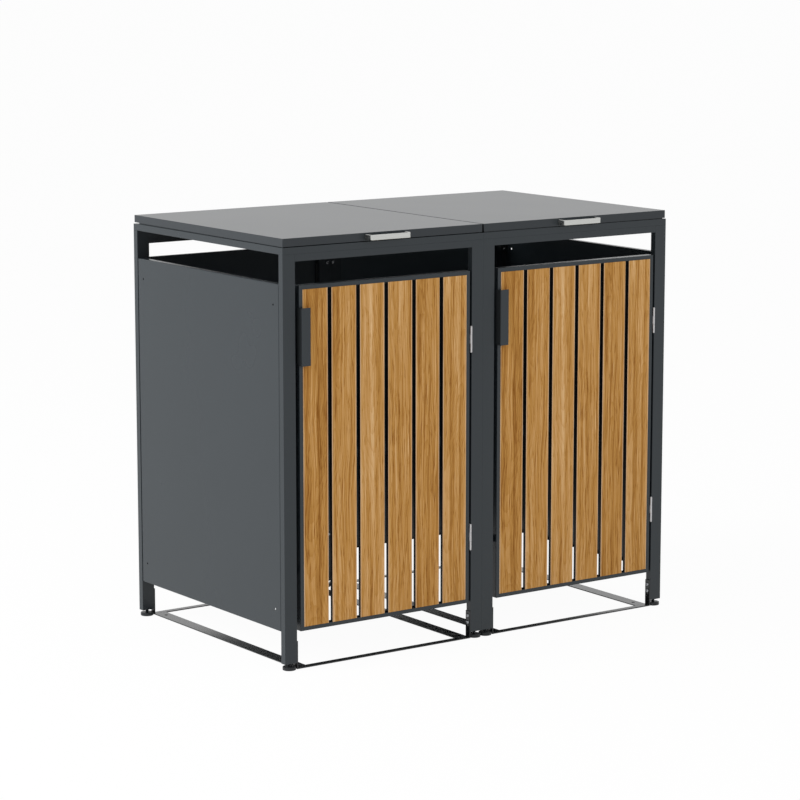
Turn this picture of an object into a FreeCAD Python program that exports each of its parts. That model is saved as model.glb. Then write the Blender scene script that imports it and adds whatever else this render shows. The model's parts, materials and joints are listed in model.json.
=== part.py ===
import FreeCAD, Part
import os
import Sketcher
from FreeCAD import Vector

# Double store for two wheelie bins: two steel modules side by side, each with four posts, a top ring,
# a hinged lid and a slatted door. Millimetres, +X right, +Y back, +Z up. The origin is on the ground
# under the middle of the whole object. A length is written as a formula such as "post_wide - wall",
# with spaces between its words and no brackets, and each word is a cell of the sheet.

# Driving dimensions
DIMS = {
    "module_wide": 680,
    "module_deep": 796,
    "front_y": -387.5,
    "lid_top": 1201,
    "wall": 1.5,
    # How far a cut runs past the face that it opens
    "cut_past": 1,
    # Posts and rails
    "post_wide": 40,
    "post_deep": 20,
    "post_foot": 18,
    "post_sole": 5,
    "front_rail": 20,
    "rear_rail": 40,
    # Ring under the lid
    "ring_low": 1157,
    "ring_high": 19,
    "ring_wide": 20,
    "ring_wall": 2,
    # Upstand on the ring, inside the lid's edge, at the front and both sides
    "upstand_in": 8,
    "upstand_thick": 2,
    "upstand_high": 14,
    "upstand_end": 20,
    # Folded panels
    "panel_low": 108,
    "panel_high": 968,
    "panel_gap": 1,
    "sheet": 1.2,
    "side_return": 18,
    "rear_return": 10,
    "panel_hole_in": 29,
    "panel_hole_low": 59.5,
    "panel_hole_pitch": 850,
    "panel_hole_radius": 3,
    # Screws of the panels
    "screw_in": 10,
    "screw_radius": 2,
    "screw_hole_radius": 2.1,
    "screw_head_radius": 4.5,
    "small_head_radius": 3.2,
    "screw_head": 2,
    "screw_long": 8,
    # Ground strips
    "strip": 3,
    "side_strip_wide": 40,
    "tab_high": 80,
    "tab_bolt_low": 46,
    "tab_bolt_pitch": 20,
    "anchor_in": 55,
    "anchor_radius": 5.5,
    # Bolts
    "bolt_radius": 3,
    "bolt_hole_radius": 3.1,
    "bolt_head_radius": 5.5,
    "bolt_head": 3,
    "tab_bolt_long": 12,
    "ring_bolt_in": 80,
    "ring_bolt_back": 14.5,
    "ring_bolt_long": 26,
    "ring_bolt_head": 1,
    "ring_bolt_head_radius": 4.2,
    "link_front_low": 400,
    "link_front_pitch": 380,
    "link_rear_low": 94,
    "link_rear_pitch": 1003,
    "nut_high": 4,
    # Levelling feet
    "foot_radius": 19,
    "foot_edge": 5,
    "foot_crown": 8,
    "foot_crown_radius": 10,
    "stem_radius": 5,
    "stem_hole_radius": 5.06,
    "stem_top": 70,
    # Lids
    "lid_inset": 2,
    "lid_high": 21,
    "lid_fillet": 1.2,
    "grip_wide": 136,
    "grip_out": 32,
    "grip_thick": 4,
    "grip_high": 15,
    "grip_low": 2,
    "grip_bend": 8,
    "buffer_radius": 4.5,
    "buffer_in": 15,
    "buffer_back": 60,
    "buffer_high": 23.2,
    # Hinges
    "knuckle_radius": 3,
    "pin_radius": 1.8,
    "pin_hole_radius": 1.85,
    "pin_head_radius": 2.6,
    "pin_head": 1,
    "leaf": 1.5,
    "leaf_offset": 2.5,
    "leaf_clear": 4.5,
    "knuckle_gap": 0.5,
    "knuckles": 3,
    "lid_hinge_long": 80,
    "lid_hinge_in": 140,
    "lid_axis_in": 7.5,
    "lid_axis_up": 8.5,
    "lid_leaf_foot": 12.5,
    "lid_leaf_toe": 4,
    "lid_riser_in": 6.2,
    "door_hinge_long": 74,
    "door_hinge_low": 263,
    "door_hinge_pitch": 575,
    "door_axis_in": 3.5,
    "door_axis_out": 2.5,
    "door_leaf_back": 20,
    # Doors
    "door_low": 106,
    "door_high": 964.5,
    "door_left_gap": 12.75,
    "door_right_gap": 7,
    "door_deep": 25,
    "door_wall": 2,
    "door_left_lip": 11.25,
    "door_low_lip": 11.5,
    "door_top_lip": 11.5,
    "bar_high": 30,
    "bar_thick": 3,
    "bar_low": 469,
    "slat_wide": 82.5,
    "slat_pitch": 95,
    "slat_deep": 10,
    "slat_fillet": 0.8,
    "pull_low": 850,
    "pull_high": 160,
    "pull_front": 28.5,
    "pull_out": 17,
    "pull_deep": 25,
    "pull_thick": 2,
    "pull_bend": 3,
    # Catches
    "catch_low": 267,
    "catch_high": 21,
    "catch_pitch": 663,
    "catch_wide": 18,
    "catch_leg": 2,
    "catch_front": 25.5,
    "catch_back": 36,
    "catch_leg_front": 4,
}

SLATS = 6
FULL_TURN = 360
CLOSE = 0.01
STEEP = 0.9
MM3_PER_CM3 = 1000
SIDES = (("left", "0 - module_wide"), ("right", "0"))
FEET_ALONG = (
    "0 - module_wide + post_wide / 2",
    "0 - post_wide / 2",
    "post_wide / 2",
    "module_wide - post_wide / 2",
)

doc = FreeCAD.newDocument("bin_store")
sheet = doc.addObject("Spreadsheet::Sheet", "Dims")
for row, (name, size) in enumerate(DIMS.items(), start=1):
    sheet.set(f"A{row}", name)
    sheet.set(f"B{row}", str(size))
    sheet.setAlias(f"B{row}", name)
doc.recompute()

subparts = []


# Formulas

def cells(text):
    """The formula in the sheet's terms."""
    words = [f"Dims.{word}" if word in DIMS else word for word in text.split()]
    return " ".join(words)


def worth(text):
    """The number that a formula stands for."""
    total, term, sign, divide = 0.0, None, 1.0, False
    for word in text.split():
        if word in ("+", "-"):
            total += sign * (term or 0.0)
            term, sign = None, 1.0 if word == "+" else -1.0
        elif word in ("*", "/"):
            divide = word == "/"
        else:
            number = float(DIMS[word]) if word in DIMS else float(word)
            if term is None:
                term = number
            else:
                term = term / number if divide else term * number
    return total + sign * term


def place(thing, x, y, z):
    """Bind a thing's place to the sheet."""
    for axis, text in zip("xyz", (x, y, z)):
        thing.setExpression(f"Placement.Base.{axis}", cells(text))


def keep(thing, label):
    """Name a sub-part and list it for writing."""
    thing.Label = label
    subparts.append(thing)
    return thing


# Sketches and features of a body

def sketch_on(body, role, height="0"):
    """An empty sketch on an origin plane of the body, moved along that plane's normal."""
    plane = next(item for item in body.Origin.OriginFeatures if item.Role == role)
    sketch = body.newObject("Sketcher::SketchObject", "Sketch")
    sketch.AttachmentSupport = [(plane, "")]
    sketch.MapMode = "FlatFace"
    if height != "0":
        sketch.setExpression("AttachmentOffset.Base.z", cells(height))
    return sketch


def hold_point(sketch, line, end, x, y):
    """Tie a point of a line or circle to its coordinates."""
    for kind, axis, text in (("DistanceX", -2, x), ("DistanceY", -1, y)):
        if text == "0":
            sketch.addConstraint(Sketcher.Constraint("PointOnObject", line, end, axis))
        else:
            datum = Sketcher.Constraint(kind, -1, 1, line, end, worth(text))
            index = sketch.addConstraint(datum)
            sketch.setExpression(f"Constraints[{index}]", cells(text))


def polygon(sketch, points):
    """A closed outline through points given as pairs of formulas."""
    spots = [Vector(worth(x), worth(y), 0) for x, y in points]
    first = sketch.GeometryCount
    count = len(points)
    for index in range(count):
        line = Part.LineSegment(spots[index], spots[(index + 1) % count])
        sketch.addGeometry(line, False)
    for index in range(count):
        after = (index + 1) % count
        sketch.addConstraint(Sketcher.Constraint("Coincident", first + index, 2, first + after, 1))
    for index, (x, y) in enumerate(points):
        hold_point(sketch, first + index, 1, x, y)


def rectangle(sketch, left, low, right, high):
    polygon(sketch, [(left, low), (right, low), (right, high), (left, high)])


def circle(sketch, x, y, radius):
    ring = Part.Circle(Vector(worth(x), worth(y), 0), Vector(0, 0, 1), worth(radius))
    line = sketch.addGeometry(ring, False)
    hold_point(sketch, line, 3, x, y)
    index = sketch.addConstraint(Sketcher.Constraint("Radius", line, worth(radius)))
    sketch.setExpression(f"Constraints[{index}]", cells(radius))


def pad(body, sketch, length, back=False):
    """Pad along the plane's normal, or against it."""
    feature = body.newObject("PartDesign::Pad", "Pad")
    feature.Profile = sketch
    feature.setExpression("Length", cells(length))
    feature.Reversed = back
    doc.recompute()
    return feature


def pocket(body, sketch, length, along=False, both=False):
    """Pocket against the plane's normal, along it, or to both sides. It has to remove something."""
    before = body.Shape.Volume
    feature = body.newObject("PartDesign::Pocket", "Pocket")
    feature.Profile = sketch
    feature.setExpression("Length", cells(length))
    feature.Reversed = along
    feature.Midplane = both
    doc.recompute()
    if not body.Shape.Volume < before:
        raise RuntimeError(f"{feature.Name} of {body.Label} removes nothing")
    return feature


def round_edges(body, radius, wanted):
    """Fillet the edges of the body's last feature whose centre and direction pass a test."""
    base = body.Tip
    names = []
    for number, edge in enumerate(base.Shape.Edges, start=1):
        ends = [vertex.Point for vertex in edge.Vertexes]
        if len(ends) == 2 and wanted(edge.CenterOfMass, (ends[1] - ends[0]).normalize()):
            names.append(f"Edge{number}")
    feature = body.newObject("PartDesign::Fillet", "Fillet")
    feature.Base = (base, names)
    feature.setExpression("Radius", cells(radius))
    doc.recompute()
    return feature


def new_body(x, y, z, label):
    body = doc.addObject("PartDesign::Body", "Body")
    body.Label = label
    place(body, x, y, z)
    return body


def near(value, text):
    return abs(value - worth(text)) < CLOSE


def upright(way):
    return abs(way.z) > STEEP


# Groups of equal solids

def rod(x, y, z, axis, radius, length):
    """A round solid from a point along an axis, X, Y or Z, with a sign."""
    turns = {"X": (Vector(0, 1, 0), 90), "Y": (Vector(1, 0, 0), -90), "Z": (Vector(0, 0, 1), 0),
             "-X": (Vector(0, 1, 0), -90), "-Y": (Vector(1, 0, 0), 90), "-Z": (Vector(1, 0, 0), 180)}
    thing = doc.addObject("Part::Cylinder", "Rod")
    thing.setExpression("Radius", cells(radius))
    thing.setExpression("Height", cells(length))
    thing.Placement = FreeCAD.Placement(Vector(), FreeCAD.Rotation(*turns[axis]))
    place(thing, x, y, z)
    return thing


def fuse(things):
    thing = doc.addObject("Part::MultiFuse", "Fuse")
    thing.Shapes = things
    return thing


def group(things, label):
    """One sub-part of several separate solids."""
    thing = doc.addObject("Part::Compound", "Group")
    thing.Links = things
    return keep(thing, label)


def screw(x, y, z, axis, head_radius, head, radius, length):
    """A head that stands out of a face and a shank that goes in along the axis."""
    back = axis[1:] if axis.startswith("-") else f"-{axis}"
    shank = rod(x, y, z, axis, radius, length)
    cap = rod(x, y, z, back, head_radius, head)
    return fuse([shank, cap])


# Posts and rails, hollow: a module has a pair of posts and a rail between them at the front and the rear

def post(x, y, on_left, linked, screw_face):
    """A post, closed at the foot and open at the top. One on the left has its inner wall on the right."""
    high = "ring_low - post_foot"
    body = new_body(x, y, "post_foot", "post")
    outline = sketch_on(body, "XY_Plane")
    rectangle(outline, "0", "0", "post_wide", "post_deep")
    pad(body, outline, high)
    bore = sketch_on(body, "XY_Plane", high)
    rectangle(bore, "wall", "wall", "post_wide - wall", "post_deep - wall")
    pocket(body, bore, f"{high} - post_sole")
    # Threaded hole for the foot
    sole = sketch_on(body, "XY_Plane", "post_sole")
    circle(sole, "post_wide / 2", "post_deep / 2", "stem_hole_radius")
    pocket(body, sole, "post_sole + cut_past")
    # Holes for the ground strip's bolts, in the inner wall
    inner_x = "post_wide" if on_left else "0"
    holes = sketch_on(body, "YZ_Plane", inner_x)
    for up in ("tab_bolt_low - post_foot", "tab_bolt_low + tab_bolt_pitch - post_foot"):
        circle(holes, "post_deep / 2", up, "bolt_hole_radius")
    pocket(body, holes, "wall + cut_past", along=not on_left)
    if linked:
        # Holes through the post for the bolts that join the two modules
        links = "link_front" if screw_face == "rear" else "link_rear"
        holes = sketch_on(body, "YZ_Plane", "post_wide / 2")
        for step in range(2):
            circle(holes, "post_deep / 2", f"{links}_low + {links}_pitch * {step} - post_foot",
                   "bolt_hole_radius")
        pocket(body, holes, "post_wide + cut_past * 2", both=True)
    # Screw holes in the face that looks into the store
    screw_heights = ("panel_low + panel_hole_low - post_foot",
                     "panel_low + panel_hole_low + panel_hole_pitch - post_foot")
    holes = sketch_on(body, "XZ_Plane", "0 - post_deep" if screw_face == "rear" else "0")
    for up in screw_heights:
        circle(holes, "screw_in" if on_left else "post_wide - screw_in", up, "screw_hole_radius")
    pocket(body, holes, "wall + cut_past", along=screw_face == "rear")
    if screw_face == "front":
        # Screw holes in the inner wall for the rear panel
        holes = sketch_on(body, "YZ_Plane", inner_x)
        for up in screw_heights:
            circle(holes, "post_deep - panel_gap - rear_return / 2", up, "screw_hole_radius")
        pocket(body, holes, "wall + cut_past", along=not on_left)
    return body


def post_pair(label, edge, y, screw_face):
    """The two posts of a module's front or rear. The one beside the other module is bolted to it."""
    linked_left = edge == "0"
    left = post(edge, y, True, linked_left, screw_face)
    right = post(f"{edge} + module_wide - post_wide", y, False, not linked_left, screw_face)
    return group([left, right], label)


def rail(edge, y, high, bolt_y):
    """A rail welded between two posts, which close its ends."""
    body = new_body(f"{edge} + post_wide", y, f"ring_low - {high}", "rail")
    outline = sketch_on(body, "YZ_Plane")
    rectangle(outline, "0", "0", "post_deep", high)
    rectangle(outline, "wall", "wall", "post_deep - wall", f"{high} - wall")
    pad(body, outline, "module_wide - post_wide * 2")
    # Holes in the top wall for the bolts of the ring
    holes = sketch_on(body, "XY_Plane", high)
    for x in ("ring_bolt_in - post_wide", "module_wide - ring_bolt_in - post_wide"):
        circle(holes, x, bolt_y, "bolt_hole_radius")
    pocket(body, holes, "wall + cut_past")
    return body


def frame_rails():
    rails = []
    rear_y = "front_y + module_deep - post_deep"
    for _, edge in SIDES:
        rails.append(rail(edge, "front_y", "front_rail", "ring_bolt_back"))
        rails.append(rail(edge, rear_y, "rear_rail", "post_deep - ring_bolt_back"))
    return group(rails, "frame_rails")


# Ring under the lid: a channel, open below, with an upstand that keeps rain out

def ring(label, edge):
    body = new_body(edge, "front_y", "ring_low", label)
    outline = sketch_on(body, "XY_Plane")
    rectangle(outline, "0", "0", "module_wide", "module_deep")
    rectangle(outline, "ring_wide", "ring_wide", "module_wide - ring_wide", "module_deep - ring_wide")
    pad(body, outline, "ring_high")
    channel = sketch_on(body, "XY_Plane")
    rectangle(channel, "ring_wall", "ring_wall", "module_wide - ring_wall", "module_deep - ring_wall")
    rectangle(channel, "ring_wide - ring_wall", "ring_wide - ring_wall",
              "module_wide - ring_wide + ring_wall", "module_deep - ring_wide + ring_wall")
    pocket(body, channel, "ring_high - ring_wall", along=True)
    holes = sketch_on(body, "XY_Plane", "ring_high")
    for x in ("ring_bolt_in", "module_wide - ring_bolt_in"):
        for y in ("ring_bolt_back", "module_deep - ring_bolt_back"):
            circle(holes, x, y, "bolt_hole_radius")
    pocket(body, holes, "ring_wall + cut_past")
    near_x, far_x = "upstand_in", "module_wide - upstand_in"
    back_y = "module_deep - upstand_end"
    upstand = sketch_on(body, "XY_Plane", "ring_high")
    polygon(upstand, [(near_x, "upstand_in"), (far_x, "upstand_in"), (far_x, back_y),
                      (f"{far_x} - upstand_thick", back_y),
                      (f"{far_x} - upstand_thick", "upstand_in + upstand_thick"),
                      (f"{near_x} + upstand_thick", "upstand_in + upstand_thick"),
                      (f"{near_x} + upstand_thick", back_y), (near_x, back_y)])
    pad(body, upstand, "upstand_high")
    return keep(body, label)


# Side panel: a folded tray with its open side inwards

def side_panel(label, x, opens_right):
    wide = "module_deep - post_deep * 2 - panel_gap * 2"
    body = new_body(x, "front_y + post_deep + panel_gap", "panel_low", label)
    outline = sketch_on(body, "YZ_Plane")
    rectangle(outline, "0", "0", wide, "panel_high")
    pad(body, outline, "side_return")
    hollow = sketch_on(body, "YZ_Plane", "side_return" if opens_right else "0")
    rectangle(hollow, "sheet", "sheet", f"{wide} - sheet", "panel_high - sheet")
    pocket(body, hollow, "side_return - sheet", along=not opens_right)
    holes = sketch_on(body, "YZ_Plane", "side_return / 2")
    for y in ("panel_hole_in", f"{wide} - panel_hole_in"):
        for z in ("panel_hole_low", "panel_hole_low + panel_hole_pitch"):
            circle(holes, y, z, "panel_hole_radius")
    pocket(body, holes, "side_return + cut_past * 2", both=True)
    # Screw holes through the two upright returns
    across = "screw_in - panel_gap" if opens_right else "side_return + panel_gap - screw_in"
    holes = sketch_on(body, "XZ_Plane", "0 - module_deep / 2")
    for z in ("panel_hole_low", "panel_hole_low + panel_hole_pitch"):
        circle(holes, across, z, "screw_hole_radius")
    pocket(body, holes, "module_deep + cut_past * 2", both=True)
    return keep(body, label)


# Rear panel: a folded tray between the rear posts, open towards the inside

def rear_panel(label, edge):
    wide = "module_wide - post_wide * 2 - panel_gap * 2"
    body = new_body(f"{edge} + post_wide + panel_gap",
                    "front_y + module_deep - panel_gap - rear_return", "panel_low", label)
    outline = sketch_on(body, "XZ_Plane")
    rectangle(outline, "0", "0", wide, "panel_high")
    pad(body, outline, "rear_return", back=True)
    hollow = sketch_on(body, "XZ_Plane")
    rectangle(hollow, "sheet", "sheet", f"{wide} - sheet", "panel_high - sheet")
    pocket(body, hollow, "rear_return - sheet")
    holes = sketch_on(body, "YZ_Plane", "module_wide / 2")
    for z in ("panel_hole_low", "panel_hole_low + panel_hole_pitch"):
        circle(holes, "rear_return / 2", z, "screw_hole_radius")
    pocket(body, holes, "module_wide + cut_past * 2", both=True)
    return keep(body, label)


# Ground strips

def cross_strip(label, edge, y):
    """A strip across a module, as wide as a post is deep, whose ends are bent up against the posts."""
    wide = "module_wide - post_wide * 2"
    body = new_body(f"{edge} + post_wide", y, "0", label)
    outline = sketch_on(body, "XZ_Plane")
    polygon(outline, [("0", "0"), (wide, "0"), (wide, "tab_high"), (f"{wide} - strip", "tab_high"),
                      (f"{wide} - strip", "strip"), ("strip", "strip"), ("strip", "tab_high"),
                      ("0", "tab_high")])
    pad(body, outline, "post_deep", back=True)
    holes = sketch_on(body, "YZ_Plane", "module_wide / 2")
    for z in ("tab_bolt_low", "tab_bolt_low + tab_bolt_pitch"):
        circle(holes, "post_deep / 2", z, "bolt_hole_radius")
    pocket(body, holes, "module_wide + cut_past * 2", both=True)
    return keep(body, label)


def side_strip(label, x):
    """A flat strip from front to back with a hole for a ground anchor near each end."""
    body = new_body(x, "front_y + post_deep", "0", label)
    outline = sketch_on(body, "XY_Plane")
    long = "module_deep - post_deep * 2"
    rectangle(outline, "0", "0", "side_strip_wide", long)
    for y in ("anchor_in - post_deep", f"{long} - anchor_in + post_deep"):
        circle(outline, "side_strip_wide / 2", y, "anchor_radius")
    pad(body, outline, "strip")
    return keep(body, label)


# Levelling foot: round plate and threaded stem, turned

def foot(label, x, y):
    body = new_body(x, y, "0", label)
    outline = sketch_on(body, "XZ_Plane")
    polygon(outline, [("0", "0"), ("foot_radius", "0"), ("foot_radius", "foot_edge"),
                      ("foot_crown_radius", "foot_crown"), ("stem_radius", "foot_crown"),
                      ("stem_radius", "stem_top"), ("0", "stem_top")])
    turned = body.newObject("PartDesign::Revolution", "Turned")
    turned.Profile = outline
    turned.ReferenceAxis = (outline, ["V_Axis"])
    turned.Angle = FULL_TURN
    doc.recompute()
    return keep(body, label)


# Lid, its grip and buffers

def lid(label, edge):
    wide = "module_wide - lid_inset * 2"
    deep = "module_deep - lid_inset * 2"
    body = new_body(f"{edge} + lid_inset", "front_y + lid_inset", "lid_top - lid_high", label)
    outline = sketch_on(body, "XY_Plane")
    rectangle(outline, "0", "0", wide, deep)
    pad(body, outline, "lid_high")
    round_edges(body, "lid_fillet", lambda centre, way: near(centre.z, "lid_high") or upright(way))
    hollow = sketch_on(body, "XY_Plane")
    rectangle(hollow, "wall", "wall", f"{wide} - wall", f"{deep} - wall")
    pocket(body, hollow, "lid_high - wall", along=True)
    return keep(body, label)


def lid_grip(label, edge):
    """A flat bar bent to a U, its ends on the lid's front edge."""
    body = new_body(f"{edge} + module_wide / 2 - grip_wide / 2",
                    "front_y + lid_inset - grip_out", "lid_top - lid_high + grip_low", label)
    outline = sketch_on(body, "XY_Plane")
    polygon(outline, [("0", "0"), ("grip_wide", "0"), ("grip_wide", "grip_out"),
                      ("grip_wide - grip_thick", "grip_out"), ("grip_wide - grip_thick", "grip_thick"),
                      ("grip_thick", "grip_thick"), ("grip_thick", "grip_out"), ("0", "grip_out")])
    pad(body, outline, "grip_high")
    round_edges(body, "grip_bend", lambda centre, way: upright(way) and near(centre.y, "0"))
    round_edges(body, "grip_bend - grip_thick",
                lambda centre, way: upright(way) and near(centre.y, "grip_thick")
                and worth("grip_thick") - CLOSE < centre.x < worth("grip_wide - grip_thick") + CLOSE)
    return keep(body, label)


def lid_buffers():
    buffers = []
    for _, edge in SIDES:
        for x in (f"{edge} + buffer_in", f"{edge} + module_wide - buffer_in"):
            for y in ("front_y + buffer_back", "front_y + module_deep - buffer_back"):
                buffers.append(rod(x, y, "ring_low + ring_high", "Z", "buffer_radius", "buffer_high"))
    return group(buffers, "lid_buffers")


# Hinges. A hinge has two knuckles on its fixed leaf, one on its moving leaf, and a pin with two heads.

def thirds(long):
    """Where the three knuckles of a hinge start and how long the middle one is."""
    first = f"{long} / knuckles - knuckle_gap / 2"
    middle = f"{long} / knuckles + knuckle_gap / 2"
    last = f"{long} - {long} / knuckles + knuckle_gap / 2"
    return first, middle, last


def lid_hinge_bodies(edge, index):
    """Frame leaf, lid leaf and pin of one lid hinge. The body's X axis is the hinge axis."""
    long = "lid_hinge_long"
    first, middle, last = thirds(long)
    centre = "lid_hinge_in" if index == 0 else "module_wide - lid_hinge_in"
    spot = (f"{edge} + {centre} - lid_hinge_long / 2", "front_y + module_deep - lid_axis_in",
            "ring_low + ring_high + lid_axis_up")
    frame_leaf = new_body(*spot, "frame_leaf")
    foot_plate = sketch_on(frame_leaf, "YZ_Plane")
    rectangle(foot_plate, "0 - lid_leaf_foot", "0 - lid_axis_up", "0 - lid_leaf_toe",
              "0 - lid_axis_up + leaf")
    pad(frame_leaf, foot_plate, long)
    for start in ("0", last):
        # The riser stands clear of the lid's rear edge, which turns in under the knuckles
        riser = sketch_on(frame_leaf, "YZ_Plane", start)
        polygon(riser, [("0 - lid_riser_in - leaf", "0 - lid_axis_up"),
                        ("0 - lid_riser_in", "0 - lid_axis_up"), ("0 - lid_riser_in", "0 - leaf / 2"),
                        ("0 - leaf_offset", "0 - leaf / 2"), ("0 - leaf_offset", "leaf / 2"),
                        ("0 - lid_riser_in - leaf", "leaf / 2")])
        pad(frame_leaf, riser, first)
        knuckle = sketch_on(frame_leaf, "YZ_Plane", start)
        circle(knuckle, "0", "0", "knuckle_radius")
        pad(frame_leaf, knuckle, first)
    lid_leaf = new_body(*spot, "lid_leaf")
    knuckle = sketch_on(lid_leaf, "YZ_Plane", middle)
    circle(knuckle, "0", "0", "knuckle_radius")
    pad(lid_leaf, knuckle, f"{long} / knuckles - knuckle_gap")
    tongue = sketch_on(lid_leaf, "YZ_Plane", middle)
    rectangle(tongue, "leaf_offset", "0", "leaf_offset + leaf", "leaf_clear")
    pad(lid_leaf, tongue, f"{long} / knuckles - knuckle_gap")
    plate = sketch_on(lid_leaf, "YZ_Plane")
    rectangle(plate, "leaf_offset", "leaf_clear", "leaf_offset + leaf",
              "lid_top - wall - ring_low - ring_high - lid_axis_up")
    pad(lid_leaf, plate, long)
    for body in (frame_leaf, lid_leaf):
        bore = sketch_on(body, "YZ_Plane", f"{long} / 2")
        circle(bore, "0", "0", "pin_hole_radius")
        pocket(body, bore, f"{long} + cut_past * 2", both=True)
    pin = hinge_pin(*spot, "X", long)
    return frame_leaf, lid_leaf, pin


def door_hinge_bodies(edge, index):
    """Post leaf, door leaf and pin of one door hinge. The body's Z axis is the hinge axis."""
    long = "door_hinge_long"
    first, middle, last = thirds(long)
    spot = (f"{edge} + module_wide - post_wide - door_axis_in", "front_y - door_axis_out",
            f"door_hinge_low + door_hinge_pitch * {index}")
    post_leaf = new_body(*spot, "post_leaf")
    for start in ("0", last):
        knuckle = sketch_on(post_leaf, "XY_Plane", start)
        circle(knuckle, "0", "0", "knuckle_radius")
        pad(post_leaf, knuckle, first)
        tongue = sketch_on(post_leaf, "XY_Plane", start)
        rectangle(tongue, "leaf_offset", "0", "door_axis_in", "leaf_clear")
        pad(post_leaf, tongue, first)
        if start == "0":
            plate = sketch_on(post_leaf, "XY_Plane")
            rectangle(plate, "leaf_offset", "leaf_clear", "door_axis_in", "door_leaf_back")
            pad(post_leaf, plate, long)
    door_leaf = new_body(*spot, "door_leaf")
    knuckle = sketch_on(door_leaf, "XY_Plane", middle)
    circle(knuckle, "0", "0", "knuckle_radius")
    pad(door_leaf, knuckle, f"{long} / knuckles - knuckle_gap")
    tongue = sketch_on(door_leaf, "XY_Plane", middle)
    rectangle(tongue, "0 - door_axis_in", "0", "0 - leaf_offset", "leaf_clear")
    pad(door_leaf, tongue, f"{long} / knuckles - knuckle_gap")
    plate = sketch_on(door_leaf, "XY_Plane")
    rectangle(plate, "0 - door_axis_in", "leaf_clear", "0 - leaf_offset", "door_leaf_back")
    pad(door_leaf, plate, long)
    for body in (post_leaf, door_leaf):
        bore = sketch_on(body, "XY_Plane", f"{long} / 2")
        circle(bore, "0", "0", "pin_hole_radius")
        pocket(body, bore, f"{long} + cut_past * 2", both=True)
    pin = hinge_pin(*spot, "Z", long)
    return post_leaf, door_leaf, pin


def hinge_pin(x, y, z, axis, long):
    """A rod through the knuckles with a small head at each end."""
    shaft = rod(x, y, z, axis, "pin_radius", long)
    near_head = rod(x, y, z, f"-{axis}", "pin_head_radius", "pin_head")
    ends = {"X": (f"{x} + {long}", y, z), "Z": (x, y, f"{z} + {long}")}
    far_head = rod(*ends[axis], axis, "pin_head_radius", "pin_head")
    return fuse([shaft, near_head, far_head])


# Door frame, slats, pull and catches

def door_frame(label, edge):
    """A frame of folded channels, open at the back, with a bar across its middle."""
    wide = "module_wide - post_wide * 2 - door_left_gap - door_right_gap"
    far_x = f"door_left_lip + slat_pitch * {SLATS - 1} + slat_wide"
    far_z = "door_high - door_top_lip"
    body = new_body(f"{edge} + post_wide + door_left_gap", "front_y", "door_low", label)
    outline = sketch_on(body, "XZ_Plane")
    rectangle(outline, "0", "0", wide, "door_high")
    rectangle(outline, "door_left_lip", "door_low_lip", far_x, far_z)
    pad(body, outline, "door_deep", back=True)
    hollow = sketch_on(body, "XZ_Plane", "0 - door_wall")
    rectangle(hollow, "door_wall", "door_wall", f"{wide} - door_wall", "door_high - door_wall")
    rectangle(hollow, "door_left_lip - door_wall", "door_low_lip - door_wall",
              f"{far_x} + door_wall", f"{far_z} + door_wall")
    pocket(body, hollow, "door_deep")
    bar = sketch_on(body, "XZ_Plane", "0 - slat_deep")
    rectangle(bar, "door_left_lip", "bar_low", far_x, "bar_low + bar_high")
    pad(body, bar, "bar_thick", back=True)
    return keep(body, label)


def door_slat(label, edge, index):
    """A folded channel whose flat side faces the front."""
    body = new_body(f"{edge} + post_wide + door_left_gap + door_left_lip + slat_pitch * {index}",
                    "front_y", "door_low + door_low_lip", label)
    outline = sketch_on(body, "XY_Plane")
    polygon(outline, [("0", "0"), ("slat_wide", "0"), ("slat_wide", "slat_deep"),
                      ("slat_wide - sheet", "slat_deep"), ("slat_wide - sheet", "sheet"),
                      ("sheet", "sheet"), ("sheet", "slat_deep"), ("0", "slat_deep")])
    pad(body, outline, "door_high - door_low_lip - door_top_lip")
    round_edges(body, "slat_fillet", lambda centre, way: upright(way) and near(centre.y, "0"))
    return keep(body, label)


def door_pull(label, edge):
    """A bent plate: one leg on the door's free side, the other in front of the slats."""
    body = new_body(f"{edge} + post_wide + door_left_gap - pull_thick", "front_y - pull_out",
                    "pull_low", label)
    outline = sketch_on(body, "XY_Plane")
    polygon(outline, [("0", "0"), ("pull_front", "0"), ("pull_front", "pull_thick"),
                      ("pull_thick", "pull_thick"), ("pull_thick", "pull_deep"), ("0", "pull_deep")])
    pad(body, outline, "pull_high")
    round_edges(body, "pull_bend", lambda centre, way: upright(way) and near(centre.x, "0")
                and near(centre.y, "0"))
    round_edges(body, "pull_bend - pull_thick",
                lambda centre, way: upright(way) and near(centre.x, "pull_thick")
                and near(centre.y, "pull_thick"))
    return keep(body, label)


def door_catches():
    """Blocks behind the doors' free edges, each on a leg along the post."""
    catches = []
    for _, edge in SIDES:
        for step in range(2):
            body = new_body(f"{edge} + post_wide", "front_y", f"catch_low + catch_pitch * {step}", "catch")
            outline = sketch_on(body, "XY_Plane")
            polygon(outline, [("0", "catch_leg_front"), ("catch_leg", "catch_leg_front"),
                              ("catch_leg", "catch_front"), ("catch_wide", "catch_front"),
                              ("catch_wide", "catch_back"), ("0", "catch_back")])
            pad(body, outline, "catch_high")
            catches.append(body)
    return group(catches, "door_catches")


# Fasteners

def ground_strip_bolts():
    bolts = []
    for _, edge in SIDES:
        for y in ("front_y + post_deep / 2", "front_y + module_deep - post_deep / 2"):
            for step in range(2):
                z = f"tab_bolt_low + tab_bolt_pitch * {step}"
                for x, way in ((f"{edge} + post_wide + strip", "-X"),
                               (f"{edge} + module_wide - post_wide - strip", "X")):
                    bolts.append(screw(x, y, z, way, "bolt_head_radius", "bolt_head", "bolt_radius",
                                       "tab_bolt_long"))
    return group(bolts, "ground_strip_bolts")


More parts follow.
